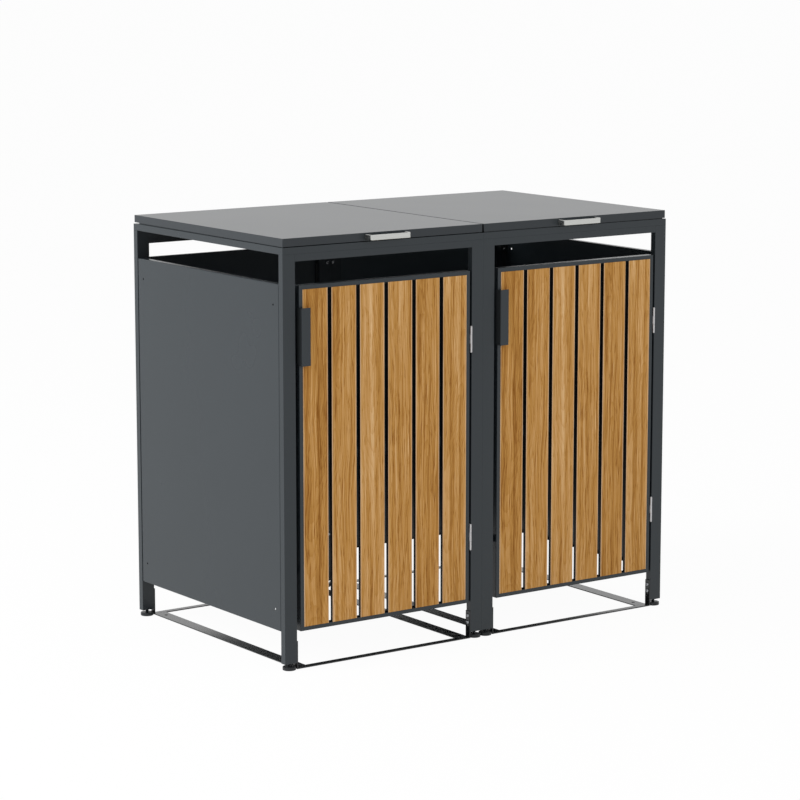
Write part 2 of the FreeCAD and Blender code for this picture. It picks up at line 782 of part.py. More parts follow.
def frame_bolts():
    """Upright bolts from the ring into the rails, and level ones with nuts between the two modules."""
    bolts = []
    for _, edge in SIDES:
        for x in (f"{edge} + ring_bolt_in", f"{edge} + module_wide - ring_bolt_in"):
            for y in ("front_y + ring_bolt_back", "front_y + module_deep - ring_bolt_back"):
                bolts.append(screw(x, y, "ring_low + ring_high", "-Z", "ring_bolt_head_radius",
                                   "ring_bolt_head", "bolt_radius", "ring_bolt_long"))
    for y, links in (("front_y + post_deep / 2", "link_front"),
                     ("front_y + module_deep - post_deep / 2", "link_rear")):
        for step in range(2):
            z = f"{links}_low + {links}_pitch * {step}"
            bolts.append(screw("0 - post_wide", y, z, "X", "bolt_head_radius", "bolt_head", "bolt_radius",
                               "post_wide * 2 + nut_high"))
            nut = doc.addObject("Part::Cut", "Nut")
            nut.Base = rod("post_wide", y, z, "X", "bolt_head_radius", "nut_high")
            nut.Tool = rod("post_wide - cut_past", y, z, "X", "bolt_hole_radius", "nut_high + cut_past * 2")
            bolts.append(nut)
    return group(bolts, "frame_bolts")


def panel_screws():
    """Screws in the faces of the posts that look into the store."""
    screws = []
    for step in range(2):
        z = f"panel_low + panel_hole_low + panel_hole_pitch * {step}"
        for edge in ("0 - module_wide + screw_in", "module_wide - screw_in"):
            for y, way in (("front_y + post_deep + panel_gap + sheet", "-Y"),
                           ("front_y + module_deep - post_deep - panel_gap - sheet", "Y")):
                screws.append(screw(edge, y, z, way, "screw_head_radius", "screw_head", "screw_radius",
                                    "screw_long"))
        for x in ("0 - screw_in", "screw_in"):
            for y, way in (("front_y + post_deep", "-Y"), ("front_y + module_deep - post_deep", "Y")):
                screws.append(screw(x, y, z, way, "screw_head_radius", "screw_head", "screw_radius",
                                    "screw_long"))
        for _, edge in SIDES:
            for x, way in ((f"{edge} + post_wide + panel_gap + sheet", "-X"),
                           (f"{edge} + module_wide - post_wide - panel_gap - sheet", "X")):
                screws.append(screw(x, "front_y + module_deep - panel_gap - rear_return / 2", z, way,
                                    "small_head_radius", "screw_head", "screw_radius", "screw_long"))
    return group(screws, "panel_screws")


# The whole object

for side, edge in SIDES:
    post_pair(f"front_posts_{side}", edge, "front_y", "rear")
    post_pair(f"rear_posts_{side}", edge, "front_y + module_deep - post_deep", "front")
    ring(f"top_frame_{side}", edge)
    rear_panel(f"rear_panel_{side}", edge)
    cross_strip(f"ground_strip_front_{side}", edge, "front_y")
    cross_strip(f"ground_strip_rear_{side}", edge, "front_y + module_deep - post_deep")
    lid(f"lid_{side}", edge)
    lid_grip(f"lid_grip_{side}", edge)
    door_frame(f"door_frame_{side}", edge)
    door_pull(f"door_pull_{side}", edge)
    for index in range(SLATS):
        door_slat(f"door_slat_{side}_{index + 1}", edge, index)

side_panel("side_panel_left", "0 - module_wide + panel_gap", True)
side_panel("side_panel_right", "module_wide - panel_gap - side_return", False)

strip_places = [f"{edge} + {inset}" for _, edge in SIDES
                for inset in ("post_wide", "module_wide - post_wide - side_strip_wide")]
for number, x in enumerate(strip_places, start=1):
    side_strip(f"ground_strip_side_{number}", x)

for row, y in (("front", "front_y + post_deep / 2"), ("rear", "front_y + module_deep - post_deep / 2")):
    for number, x in enumerate(FEET_ALONG, start=1):
        foot(f"foot_{row}_{number}", x, y)

lid_frame_leaves, lid_pins, door_post_leaves, door_pins = [], [], [], []
for side, edge in SIDES:
    lid_leaves, door_leaves = [], []
    for index in range(2):
        frame_leaf, lid_leaf, pin = lid_hinge_bodies(edge, index)
        lid_frame_leaves.append(frame_leaf)
        lid_leaves.append(lid_leaf)
        lid_pins.append(pin)
        post_leaf, door_leaf, pin = door_hinge_bodies(edge, index)
        door_post_leaves.append(post_leaf)
        door_leaves.append(door_leaf)
        door_pins.append(pin)
    group(lid_leaves, f"lid_hinge_lid_leaves_{side}")
    group(door_leaves, f"door_hinge_door_leaves_{side}")
group(lid_frame_leaves, "lid_hinge_frame_leaves")
group(lid_pins, "lid_hinge_pins")
group(door_post_leaves, "door_hinge_post_leaves")
group(door_pins, "door_hinge_pins")

frame_rails()
lid_buffers()
door_catches()
ground_strip_bolts()
frame_bolts()
panel_screws()
doc.recompute()

# Check every object and write each sub-part
for thing in doc.Objects:
    if "Invalid" in thing.State or "Error" in thing.State:
        raise RuntimeError(f"{thing.Name} of {thing.Label} failed: {thing.State}")
for thing in subparts:
    if thing.Shape.isNull() or not thing.Shape.isValid():
        raise RuntimeError(f"{thing.Label} has no valid shape")

os.makedirs("parts", exist_ok=True)
for thing in subparts:
    thing.Shape.exportStep(f"parts/{thing.Label}.step")
    box = thing.Shape.BoundBox
    volume = thing.Shape.Volume / MM3_PER_CM3
    print(f"{thing.Label}: {len(thing.Shape.Solids)} solids, {volume:.1f} cm3, "
          f"X {box.XMin:.1f} {box.XMax:.1f} Y {box.YMin:.1f} {box.YMax:.1f} "
          f"Z {box.ZMin:.1f} {box.ZMax:.1f}")
print(len(subparts), "sub-parts")
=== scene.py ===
import json
import math

import bmesh
import bpy
from mathutils import Matrix, Vector

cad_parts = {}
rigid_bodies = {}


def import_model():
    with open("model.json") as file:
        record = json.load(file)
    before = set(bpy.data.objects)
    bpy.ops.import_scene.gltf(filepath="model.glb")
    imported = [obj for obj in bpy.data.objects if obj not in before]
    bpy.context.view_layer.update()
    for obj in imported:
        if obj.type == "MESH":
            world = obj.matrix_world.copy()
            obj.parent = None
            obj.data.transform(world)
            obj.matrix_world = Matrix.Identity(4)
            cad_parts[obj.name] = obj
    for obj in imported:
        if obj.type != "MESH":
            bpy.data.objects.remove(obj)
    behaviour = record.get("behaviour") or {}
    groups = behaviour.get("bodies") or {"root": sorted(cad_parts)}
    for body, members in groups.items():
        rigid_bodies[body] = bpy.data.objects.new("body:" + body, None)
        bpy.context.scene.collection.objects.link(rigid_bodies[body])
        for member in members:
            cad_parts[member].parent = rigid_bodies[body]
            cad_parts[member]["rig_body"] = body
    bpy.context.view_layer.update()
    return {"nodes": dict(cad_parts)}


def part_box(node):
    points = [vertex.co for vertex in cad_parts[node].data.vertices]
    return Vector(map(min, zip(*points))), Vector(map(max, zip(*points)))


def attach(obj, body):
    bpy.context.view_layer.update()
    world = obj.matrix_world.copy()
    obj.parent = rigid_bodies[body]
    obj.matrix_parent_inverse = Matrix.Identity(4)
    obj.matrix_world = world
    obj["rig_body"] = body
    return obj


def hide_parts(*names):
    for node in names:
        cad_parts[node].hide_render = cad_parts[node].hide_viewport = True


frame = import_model()

# Looks of a double store for wheelie bins. Metres, +X right, +Y back, +Z up, in the frame of the model.

SIDES = ("left", "right")
ROWS = ("front", "rear")
SLATS = 6
POSTS_A_ROW = 4
X_AXIS = 0
Y_AXIS = 1
MM = 0.001
FULL_TURN = 2 * math.pi
HEX = 6

# Camera, solved from the straight edges of the photograph
CAMERA_PLACE = (-4.8112, -6.7339, 2.0271)
CAMERA_TURN = 35.463
CAMERA_TILT = 9.499
CAMERA_LENS = 126.87
SENSOR = 36.0

# Light: the share of the white surroundings that lights the object, and lamps by name, place and power
AMBIENT = 0.58
LAMPS = (("key", (-6.0, 1.5, 3.0), 450.0), ("fill", (1.5, -7.0, 3.2), 150.0))
LAMP_SIZE = 4.0
LAMP_TARGET = (0.0, 0.0, 0.6)

# Floor: half its side, its tone, and how much of it is seen as plain white
FLOOR_HALF = 400.0
FLOOR_TONE = 0.82
FLOOR_ROUGH = 0.9
FLOOR_SEEN = 0.96

# Colours, as 0 to 255 display values
ANTHRACITE = (38, 44, 48)
LID_TONE = (38, 43, 47)
SLAT_BACK = (16, 17, 18)
# Painted shade: a dark, matt copy of the coat for faces that lie in shadow, in the panels' joints, the lids'
# seam and the pulls' legs
SHADE = (42, 45, 47)
STRIP_BLACK = (34, 36, 37)
WOOD_DARK = (130, 80, 20)
WOOD_MID = (178, 129, 63)
WOOD_LIGHT = (202, 158, 104)
WOOD_PALE = (224, 192, 146)
# Painted highlight along the slats' long edges
WOOD_RIM_HIGHLIGHT = (206, 172, 136)
GRIP_STEEL_TONE = (200, 201, 198)
HINGE_STEEL_TONE = (200, 199, 200)
ZINC = (166, 168, 171)
BLACK_STEEL = (26, 27, 29)
RUBBER = (26, 27, 28)
PLASTIC = (30, 31, 33)
FOOT_TONE = (36, 38, 40)
STEM_TONE = (88, 90, 93)
WHITE = (255, 255, 255)

# Powder coat: sizes of its noises per metre, and how much they change tone, roughness and height
COAT_CLOUDS = 3.0
COAT_PEEL = 420.0
COAT_GRAINS = 1500.0
COAT_GRAIN_SHARE = 0.4
COAT_TONE_RANGE = 0.02
COAT_ROUGH_RANGE = 0.01
COAT_BUMP = (0.04, 0.05 * MM)

# Wood print: how fast each layer changes across the slat, from slat to slat and along it, its detail and
# its roughness
WOOD_LAYERS = {
    "lean": ((6.0, 19.0, 3.2), 2.0, 0.5),
    "bands": ((85.0, 9.0, 1.6), 3.0, 0.6),
    "sway": ((0.0, 5.0, 1.5), 1.0, 0.5),
    "depth": ((0.0, 7.0, 1.6), 1.0, 0.5),
    "ripple": ((120.0, 9.0, 7.0), 2.0, 0.5),
    "fibres": ((1100.0, 60.0, 14.0), 3.0, 0.6),
    "streaks": ((330.0, 40.0, 4.5), 3.0, 0.6),
    "flames": ((300.0, 31.0, 15.0), 4.0, 0.65),
    "glints": ((420.0, 53.0, 6.0), 2.0, 0.5),
    "rim_sheen": ((40.0, 17.0, 4.0), 2.0, 0.5),
}
# How much lighter or darker each layer makes the print
WOOD_WEIGHTS = {"bands": 1.0, "streaks": 0.62, "fibres": 0.22, "glints": 0.18, "ring": -0.10, "flames": -0.30}
WOOD_LEVEL = -0.42
WOOD_STOPS = ((0.16, WOOD_DARK), (0.48, WOOD_MID), (0.70, WOOD_LIGHT), (0.92, WOOD_PALE))
# How much lighter or darker the print of each slat of a door is, from its free edge to its hinges
SLAT_TONES = (-0.07, 0.04, 0.10, 0.02, -0.02, 0.05)
# The grain leans that far to and fro, and the middle of the trunk lies that far aside and under the slat
LEAN_REACH = 6.0 * MM
SWAY_REACH = (-0.05, 0.05)
DEPTH_REACH = (-0.05, 0.08)
RINGS_A_METRE = 150.0
RING_RIPPLE = 0.9
RING_SHARPNESS = 3.0
# The parts of a noise's range that are used
WIDE_RANGE = (0.25, 0.75)
MIDDLE_RANGE = (0.3, 0.7)
CENTRE_RANGE = (0.35, 0.65)
FLAME_RANGE = (0.55, 0.66)
GLINT_RANGE = (0.60, 0.72)
# Where the painted highlights along the slat's long edges begin and end, from the middle of the slat, and how
# strong they are
HIGHLIGHT_RIM_PLACE = (37.2 * MM, 38.8 * MM)
HIGHLIGHT_RIM_STRENGTH = (0.35, 0.85)
WOOD_ROUGH = (0.50, 0.64)
WOOD_BUMP = (0.10, 0.12 * MM)
WOOD_GLOSS = 1.25

# Metals and plastics: sizes of their noises per metre, ranges of tone and roughness, and relief
BRUSH_LINES = 900.0
BRUSH_TONES = (0.86, 1.04)
BRUSH_ROUGH = (-0.07, 0.12)
BRUSH_BUMP = (0.10, 0.05 * MM)
CRYSTALS = 420.0
CRYSTAL_RANGE = (0.1, 0.8)
CRYSTAL_TONES = (0.80, 1.08)
CRYSTAL_ROUGH = (-0.08, 0.10)
MOULD_PITS = 1800.0
MOULD_CLOUDS = 30.0
MOULD_TONES = (0.85, 1.2)
MOULD_ROUGH = (-0.06, 0.06)
MOULD_BUMP = (0.2, 0.1 * MM)

# Rounded edges of each kind of piece: how wide, and the shortest edge that is rounded
TUBE_EDGES = (0.45 * MM, 15 * MM)
RING_EDGES = (0.6 * MM, 15 * MM)
DOOR_EDGES = (0.8 * MM, 10 * MM)
STRIP_EDGES = (0.5 * MM, 8 * MM)
GRIP_EDGES = (1.2 * MM, 0.2 * MM)
HINGE_EDGES = (0.25 * MM, 10 * MM)
CATCH_EDGES = (0.8 * MM, 5 * MM)
LID_EDGES = (0.35 * MM, 15 * MM)
PULL_EDGES = (0.5 * MM, 8 * MM)
PANEL_EDGES = (0.3 * MM, 8 * MM)
PANEL_FOLDS = (2.4 * MM, 15 * MM, 4)
# A corner above the first angle is rounded, and one above the second stays sharp in the shading
ROUNDED = math.radians(35)
SHARP = math.radians(50)

# Cleaning of the solids: what counts as one point, one flat face, and a place on a face
WELD = 0.004 * MM
FLAT = math.radians(0.2)
TOUCH = 0.01 * MM
SAME_HEIGHT = 0.1 * MM

# Folded sheets: the strip beside an edge that moves with it, and the joints left open
FOLD = 2.5 * MM
SIDE_JOINTS = (1.8 * MM, 0.0)
REAR_JOINTS = (0.5 * MM, 0.5 * MM)
SEAM_ROOM = 0.5 * MM
SKIRT_DROP = 1.8 * MM

# How squarely a face looks along an axis to get another material: painted shade or a lighter, painted
# bounce-lit coat on panels, lids and pulls, and the dark back on slats
PANEL_SQUARE = 0.8
LID_SQUARE = 0.6
PULL_SQUARE = 0.9
SLAT_SQUARE = 0.7

# Slats: bend and sheet, and the place of a slat's print in the wood, in steps
SLAT_BEND = 1.0 * MM
SLAT_SHEET = 1.2 * MM
BEND_STEPS = 5
PRINT_STEP = 0.731

# Places in a piece's list of materials
FIRST = 0
SECOND = 1
THIRD = 2

# Screws and bolts: radii of the shanks, and the heads that are black, by their greatest radius
BOLT_SHANK = 3.0 * MM
SCREW_SHANK = 2.0 * MM
SMALL_HEADS = 4.0 * MM
NO_HEADS = 0.0
ALL_HEADS = 1.0
# The share of a fastener's radius from which a point belongs to its head
HEAD_POINTS = 0.95
# A fastener with a shank shorter than this share of its head is a nut
NUT_LIMIT = 0.1
# Button head: its rim as a share of its height, its foot and socket of its radius, its brim of the socket
HEAD_RIM = 0.08
HEAD_FOOT = 0.96
HEAD_SOCKET = 0.42
HEAD_BRIM = 1.25
DOME_ANGLES = (15, 30, 45, 60, 75)
# Chamfer at the end of a shank: its length and its smaller radius, as shares of the shank's radius
SHANK_CHAMFER = 0.3
SHANK_END = 0.8
# Socket: its round mouth in sockets, its walls as heights in heads with radii in sockets, and its floor
SOCKET_MOUTH = 1.22
SOCKET_WALLS = ((1.0, 1.05), (0.4, 1.0))
SOCKET_FLOOR = 0.3
# Nut: heights of its chamfers in nuts, and radii there in flats and in bores
NUT_CHAMFERS = (0.14, 0.86)
NUT_FACE = 0.97
NUT_MOUTH = ((1.0, 1.1), (0.9, 1.0))

# Levelling foot: heights of its plate's profile with how far they lie inside the full radius, in mm
FOOT_PROFILE = ((0.0, 1.2), (0.5, 0.3), (1.6, 0.0), (8.2, 0.0), (9.1, 0.4), (9.5, 1.2), (9.7, 3.0))
FOOT_TOP = 9.8 * MM
FOOT_CROWN_RADIUS = 10.0 * MM
FOOT_STEPS = 48
STEM_RADIUS = 5.0 * MM
STEM_ROOM = 0.3 * MM
THREAD_LOW = 9.4 * MM
THREAD_PITCH = 1.5 * MM
THREAD_DEEP = 0.75 * MM
# Chamfer at the upper end of the stem: heights below the top with how far they lie inside the radius
STEM_END = ((0.6 * MM, 0.2 * MM), (0.0, 0.9 * MM))


def linear(colour, gain=1.0):
    """A display colour as the light values that shaders take."""
    parts = [value / 255 for value in colour]
    light = [part / 12.92 if part <= 0.04045 else ((part + 0.055) / 1.055) ** 2.4 for part in parts]
    return (*[min(1.0, value * gain) for value in light], 1.0)


# Shader nodes

def new_shader(name):
    material = bpy.data.materials.new(name)
    material.use_nodes = True
    tree = material.node_tree
    return material, tree, tree.nodes["Principled BSDF"]


def put(tree, kind, inputs, **options):
    """Add a node, set its options and fill its sockets with values or links."""
    made = tree.nodes.new(kind)
    for name, value in options.items():
        setattr(made, name, value)
    for name, value in inputs.items():
        socket = made.inputs[name]
        if isinstance(value, bpy.types.NodeSocket):
            tree.links.new(value, socket)
        else:
            socket.default_value = value
    return made


def object_place(tree):
    return put(tree, "ShaderNodeTexCoord", {}).outputs["Object"]


def maths(tree, operation, first, second=0.0):
    return put(tree, "ShaderNodeMath", {0: first, 1: second}, operation=operation).outputs[0]


def vectors(tree, operation, first, second):
    return put(tree, "ShaderNodeVectorMath", {0: first, 1: second}, operation=operation).outputs[0]


def noise(tree, place, scale, detail=2.0, roughness=0.5):
    inputs = {"Vector": place, "Scale": scale, "Detail": detail, "Roughness": roughness}
    return put(tree, "ShaderNodeTexNoise", inputs).outputs["Fac"]


def stretched_noise(tree, place, factors, detail, roughness):
    """Noise that changes at another pace along each axis."""
    return noise(tree, vectors(tree, "MULTIPLY", place, factors), 1.0, detail, roughness)


def ramp(tree, factor, stops):
    """Colours along a factor, as pairs of a position and a colour."""
    made = put(tree, "ShaderNodeValToRGB", {"Fac": factor})
    points = made.color_ramp.elements
    while len(points) < len(stops):
        points.new(0.5)
    for point, (position, colour) in zip(points, stops):
        point.position = position
        point.color = colour
    return made.outputs["Color"]


def shades(tree, factor, part, colour, gains):
    """One colour from its first gain to its second over a part of the factor's range."""
    return ramp(tree, factor, [(position, linear(colour, gain)) for position, gain in zip(part, gains)])


def spread(tree, factor, wanted, part=(0.0, 1.0)):
    """A part of a factor's range brought to the wanted range."""
    inputs = {"Value": factor}
    inputs["From Min"], inputs["From Max"] = part
    inputs["To Min"], inputs["To Max"] = wanted
    return put(tree, "ShaderNodeMapRange", inputs).outputs["Result"]


def bump(tree, height, strength, distance):
    inputs = {"Height": height, "Strength": strength, "Distance": distance}
    return put(tree, "ShaderNodeBump", inputs).outputs["Normal"]


def finish_surface(tree, surface, tone, roughness, normal=None):
    """Link what varies over a surface to its shader."""
    tree.links.new(tone, surface.inputs["Base Color"])
    tree.links.new(roughness, surface.inputs["Roughness"])
    if normal:
        tree.links.new(normal, surface.inputs["Normal"])


# Materials

def powder_coat(name, colour, gain=1.0, rough=0.27, gloss=1.40):
    """Smooth polyester powder on steel: a very fine orange peel, faint clouds in tone and gloss."""
    material, tree, surface = new_shader(name)
    place = object_place(tree)
    clouds = noise(tree, place, COAT_CLOUDS, detail=3.0)
    grains = noise(tree, place, COAT_GRAINS)
    peel = noise(tree, place, COAT_PEEL, detail=1.0)
    gains = (gain * (1 - COAT_TONE_RANGE), gain * (1 + COAT_TONE_RANGE))
    tone = shades(tree, clouds, MIDDLE_RANGE, colour, gains)
    roughness = spread(tree, clouds, (rough - COAT_ROUGH_RANGE, rough + COAT_ROUGH_RANGE))
    height = maths(tree, "ADD", maths(tree, "MULTIPLY", grains, COAT_GRAIN_SHARE), peel)
    finish_surface(tree, surface, tone, roughness, bump(tree, height, *COAT_BUMP))
    surface.inputs["IOR"].default_value = gloss
    return material


def wood_look():
    """Printed wood grain along Z.

    The attribute grain holds the place across, the slat's number and the height; tone, how light the slat is.
    """
    def layer(name, place):
        return stretched_noise(tree, place, *WOOD_LAYERS[name])

    material, tree, surface = new_shader("wood_look")
    straight = put(tree, "ShaderNodeAttribute", {}, attribute_name="grain").outputs["Vector"]
    lightness = put(tree, "ShaderNodeAttribute", {}, attribute_name="tone").outputs["Fac"]
    across = put(tree, "ShaderNodeSeparateXYZ", {"Vector": straight}).outputs["X"]
    # The grain leans to and fro along the slat
    lean = spread(tree, layer("lean", straight), (-LEAN_REACH, LEAN_REACH), WIDE_RANGE)
    aside = put(tree, "ShaderNodeCombineXYZ", {"X": lean}).outputs["Vector"]
    place = vectors(tree, "ADD", straight, aside)
    layers = {name: layer(name, place) for name in ("bands", "fibres", "streaks")}
    # Short dark flames and thin pale lines between them
    layers["flames"] = spread(tree, layer("flames", place), (0.0, 1.0), FLAME_RANGE)
    layers["glints"] = spread(tree, layer("glints", place), (0.0, 1.0), GLINT_RANGE)
    # Rings of the trunk, cut by the plane of the slat
    sway = spread(tree, layer("sway", place), SWAY_REACH, MIDDLE_RANGE)
    off_centre = maths(tree, "SUBTRACT", across, sway)
    under = spread(tree, layer("depth", place), DEPTH_REACH, WIDE_RANGE)
    square = maths(tree, "ADD", maths(tree, "MULTIPLY", off_centre, off_centre),
                   maths(tree, "MULTIPLY", under, under))
    radius = maths(tree, "MULTIPLY", maths(tree, "SQRT", square), RINGS_A_METRE)
    turns = maths(tree, "ADD", radius, maths(tree, "MULTIPLY", layer("ripple", place), RING_RIPPLE))
    layers["ring"] = maths(tree, "POWER", maths(tree, "FRACT", turns), RING_SHARPNESS)
    tone = maths(tree, "ADD", lightness, WOOD_LEVEL)
    for name, weight in WOOD_WEIGHTS.items():
        inputs = {0: layers[name], 1: weight, 2: tone}
        tone = put(tree, "ShaderNodeMath", inputs, operation="MULTIPLY_ADD").outputs[0]
    colour = ramp(tree, tone, [(position, linear(shade)) for position, shade in WOOD_STOPS])
    # Painted highlight: the film is made paler and greyer along the two long edges, where the bends catch the
    # light
    beside = spread(tree, maths(tree, "ABSOLUTE", across), (0.0, 1.0), HIGHLIGHT_RIM_PLACE)
    rim = maths(tree, "MULTIPLY", beside, spread(tree, layer("rim_sheen", place), HIGHLIGHT_RIM_STRENGTH, CENTRE_RANGE))
    highlighted = put(tree, "ShaderNodeMixRGB", {"Fac": rim, "Color1": colour, "Color2": linear(WOOD_RIM_HIGHLIGHT)})
    finish_surface(tree, surface, highlighted.outputs["Color"], spread(tree, layers["fibres"], WOOD_ROUGH),
                   bump(tree, layers["fibres"], *WOOD_BUMP))
    surface.inputs["IOR"].default_value = WOOD_GLOSS
    return material


def brushed_steel(name, colour, along, pace, rough):
    """Stainless steel, ground along one axis in lines that are longer at a lower pace."""
    material, tree, surface = new_shader(name)
    factors = [BRUSH_LINES] * 3
    factors["XYZ".index(along)] = pace
    lines = stretched_noise(tree, object_place(tree), factors, detail=3.0, roughness=0.6)
    roughness = spread(tree, lines, [rough + change for change in BRUSH_ROUGH])
    finish_surface(tree, surface, shades(tree, lines, MIDDLE_RANGE, colour, BRUSH_TONES), roughness,
                   bump(tree, lines, *BRUSH_BUMP))
    surface.inputs["Metallic"].default_value = 1.0
    return material


def plated(name, colour, rough):
    """Plated steel with a faint crystal pattern."""
    material, tree, surface = new_shader(name)
    inputs = {"Vector": object_place(tree), "Scale": CRYSTALS}
    crystals = put(tree, "ShaderNodeTexVoronoi", inputs).outputs["Distance"]
    roughness = spread(tree, crystals, [rough + change for change in CRYSTAL_ROUGH])
    finish_surface(tree, surface, shades(tree, crystals, CRYSTAL_RANGE, colour, CRYSTAL_TONES), roughness)
    surface.inputs["Metallic"].default_value = 1.0
    return material


def moulded(name, colour, rough, gloss=1.5):
    """Rubber or plastic from a mould with a fine spark texture."""
    material, tree, surface = new_shader(name)
    place = object_place(tree)
    pits = noise(tree, place, MOULD_PITS)
    clouds = noise(tree, place, MOULD_CLOUDS, detail=3.0)
    roughness = spread(tree, pits, [rough + change for change in MOULD_ROUGH])
    finish_surface(tree, surface, shades(tree, clouds, MIDDLE_RANGE, colour, MOULD_TONES), roughness,
                   bump(tree, pits, *MOULD_BUMP))
    surface.inputs["IOR"].default_value = gloss
    return material


COAT = powder_coat("anthracite_coat", ANTHRACITE)
LID_COAT = powder_coat("anthracite_coat_lid", LID_TONE, rough=0.29, gloss=1.39)
# Painted shade for faces in the panels' joints, the lids' seam and the pulls' legs
SHADE_COAT = powder_coat("anthracite_coat_shade", SHADE, rough=0.55, gloss=1.15)
# Painted bounce light: a lighter copy of the coat for the panels' inward faces, which lie in shade
BOUNCE_LIT_COAT = powder_coat("anthracite_coat_painted_bounce", ANTHRACITE, gain=1.4)
# Painted highlight: a lighter copy of the coat on the rounded edges of tubes, rings and door frames
COAT_EDGE_HIGHLIGHT = powder_coat("anthracite_coat_edge_highlight", ANTHRACITE, gain=1.15, rough=0.26)
STRIP_COAT = powder_coat("black_coat", STRIP_BLACK, rough=0.20, gloss=1.45)
SLAT_COAT = powder_coat("slat_back_coat", SLAT_BACK, rough=0.40, gloss=1.30)
WOOD = wood_look()
GRIP_STEEL = brushed_steel("brushed_steel_grip", GRIP_STEEL_TONE, along="X", pace=12.0, rough=0.30)
HINGE_STEEL = brushed_steel("brushed_steel_hinge", HINGE_STEEL_TONE, along="Z", pace=60.0, rough=0.52)
ZINC_PLATE = plated("zinc_plate", ZINC, rough=0.26)
BLACK_PLATE = plated("black_plate", BLACK_STEEL, rough=0.34)
STEM_PLATE = plated("stem_plate", STEM_TONE, rough=0.34)
FOOT_PLASTIC = moulded("foot_plastic", FOOT_TONE, rough=0.40, gloss=1.32)
BUFFER_RUBBER = moulded("buffer_rubber", RUBBER, rough=0.7)
CATCH_PLASTIC = moulded("catch_plastic", PLASTIC, rough=0.45)


# Pieces

def add_piece(node, shape, materials):
    """A new piece in its node's place, shaded smooth over its small bevels and flat beside sharp corners."""
    mesh = bpy.data.meshes.new(f"{node}_finish")
    shape.to_mesh(mesh)
    shape.free()
    for face in mesh.polygons:
        face.use_smooth = True
    mesh.set_sharp_from_angle(angle=SHARP)
    for material in materials:
        mesh.materials.append(material)
    piece = bpy.data.objects.new(f"{node}_finish", mesh)
    bpy.context.scene.collection.objects.link(piece)
    level = piece.modifiers.new("even_normals", "WEIGHTED_NORMAL")
    level.keep_sharp = True
    level.weight = 100
    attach(piece, frame["nodes"][node]["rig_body"])
    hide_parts(node)


def welded(node):
    """The node's solid as a bmesh whose faces share their points."""
    shape = bmesh.new()
    shape.from_mesh(frame["nodes"][node].data)
    bmesh.ops.remove_doubles(shape, verts=shape.verts, dist=WELD)
    return shape


def solid_of(node):
    """The node's solid as a clean bmesh, with its flat faces whole."""
    shape = welded(node)
    bmesh.ops.dissolve_limit(shape, angle_limit=FLAT, verts=shape.verts, edges=shape.edges)
    paint(shape, lambda face: FIRST)
    return shape


def paint(shape, choice):
    """Give each face the material that the choice names."""
    for face in shape.faces:
        face.material_index = choice(face)


def soften(shape, width, shortest, steps=2, wanted=lambda edge: True):
    """Round the outward edges that are sharp, long enough and wanted."""
    sharp = []
    for edge in shape.edges:
        if edge.is_manifold and edge.is_convex and edge.calc_length() > shortest and wanted(edge):
            if edge.calc_face_angle() > ROUNDED:
                sharp.append(edge)
    bmesh.ops.bevel(shape, geom=sharp, offset=width, segments=steps, profile=0.5,
                    affect="EDGES", clamp_overlap=False, material=SECOND)


def coated(node, slot, edges, *materials):
    """A node with rounded edges, in one material or with a second one on its edges, such as a lighter copy of
    the coat as a painted highlight.
    """
    shape = solid_of(node)
    soften(shape, *edges)
    add_piece(node, shape, (materials[0], materials[-1]))


def panel(node, axis, outer, joints):
    """A folded tray with full radii at its outer folds, broken cut edges and open joints beside its posts,
    with painted shade on the flanges in the joints and painted bounce light, a lighter coat, on its inward
    faces.
    """
    def on_face(edge):
        return all(abs(vert.co[axis] - outer) < TOUCH for vert in edge.verts)

    def finish(face):
        if abs(face.normal[along]) > PANEL_SQUARE:
            return SECOND
        return THIRD if face.normal[axis] * outward < -PANEL_SQUARE else FIRST

    shape = solid_of(node)
    along = 1 - axis
    low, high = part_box(node)
    outward = 1 if outer == high[axis] else -1
    for vert in shape.verts:
        if abs(vert.co[along] - low[along]) < FOLD:
            vert.co[along] += joints[0]
        elif abs(vert.co[along] - high[along]) < FOLD:
            vert.co[along] -= joints[1]
    soften(shape, *PANEL_FOLDS, on_face)
    soften(shape, *PANEL_EDGES)
    paint(shape, finish)
    add_piece(node, shape, (COAT, SHADE_COAT, BOUNCE_LIT_COAT))


def lid(node, towards_seam):
    """A folded lid: its skirt gets deeper towards the front, and it has painted shade, a dark matt coat,
    where it faces the other lid.
    """
    shape = solid_of(node)
    low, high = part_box(node)
    seam = high.x if towards_seam > 0 else low.x
    for vert in shape.verts:
        if abs(vert.co.x - seam) < FOLD:
            vert.co.x -= SEAM_ROOM * towards_seam
        if abs(vert.co.z - low.z) < SAME_HEIGHT:
            vert.co.z -= SKIRT_DROP * (high.y - vert.co.y) / (high.y - low.y)
    soften(shape, *LID_EDGES)
    paint(shape, lambda face: SECOND if face.normal.x * towards_seam > LID_SQUARE else FIRST)
    add_piece(node, shape, (LID_COAT, SHADE_COAT))


def pull(node):
    """A bent plate whose leg beside the post has painted shade, a dark matt coat, darker than its front."""
    shape = solid_of(node)
    soften(shape, *PULL_EDGES)
    paint(shape, lambda face: SECOND if face.normal.x < -PULL_SQUARE else FIRST)
    add_piece(node, shape, (COAT, SHADE_COAT))


def channel_outline(low, high):
    """The section of a channel that opens to the back, with its two front folds rounded."""
    outline = [(low.x, high.y)]
    for centre, start in ((low.x + SLAT_BEND, 180), (high.x - SLAT_BEND, 270)):
        for step in range(BEND_STEPS + 1):
            angle = math.radians(start + 90 * step / BEND_STEPS)
            outline.append((centre + SLAT_BEND * math.cos(angle),
                            low.y + SLAT_BEND + SLAT_BEND * math.sin(angle)))
    outline.append((high.x, high.y))
    outline.append((high.x - SLAT_SHEET, high.y))
    outline.append((high.x - SLAT_SHEET, low.y + SLAT_SHEET))
    outline.append((low.x + SLAT_SHEET, low.y + SLAT_SHEET))
    outline.append((low.x + SLAT_SHEET, high.y))
    return outline


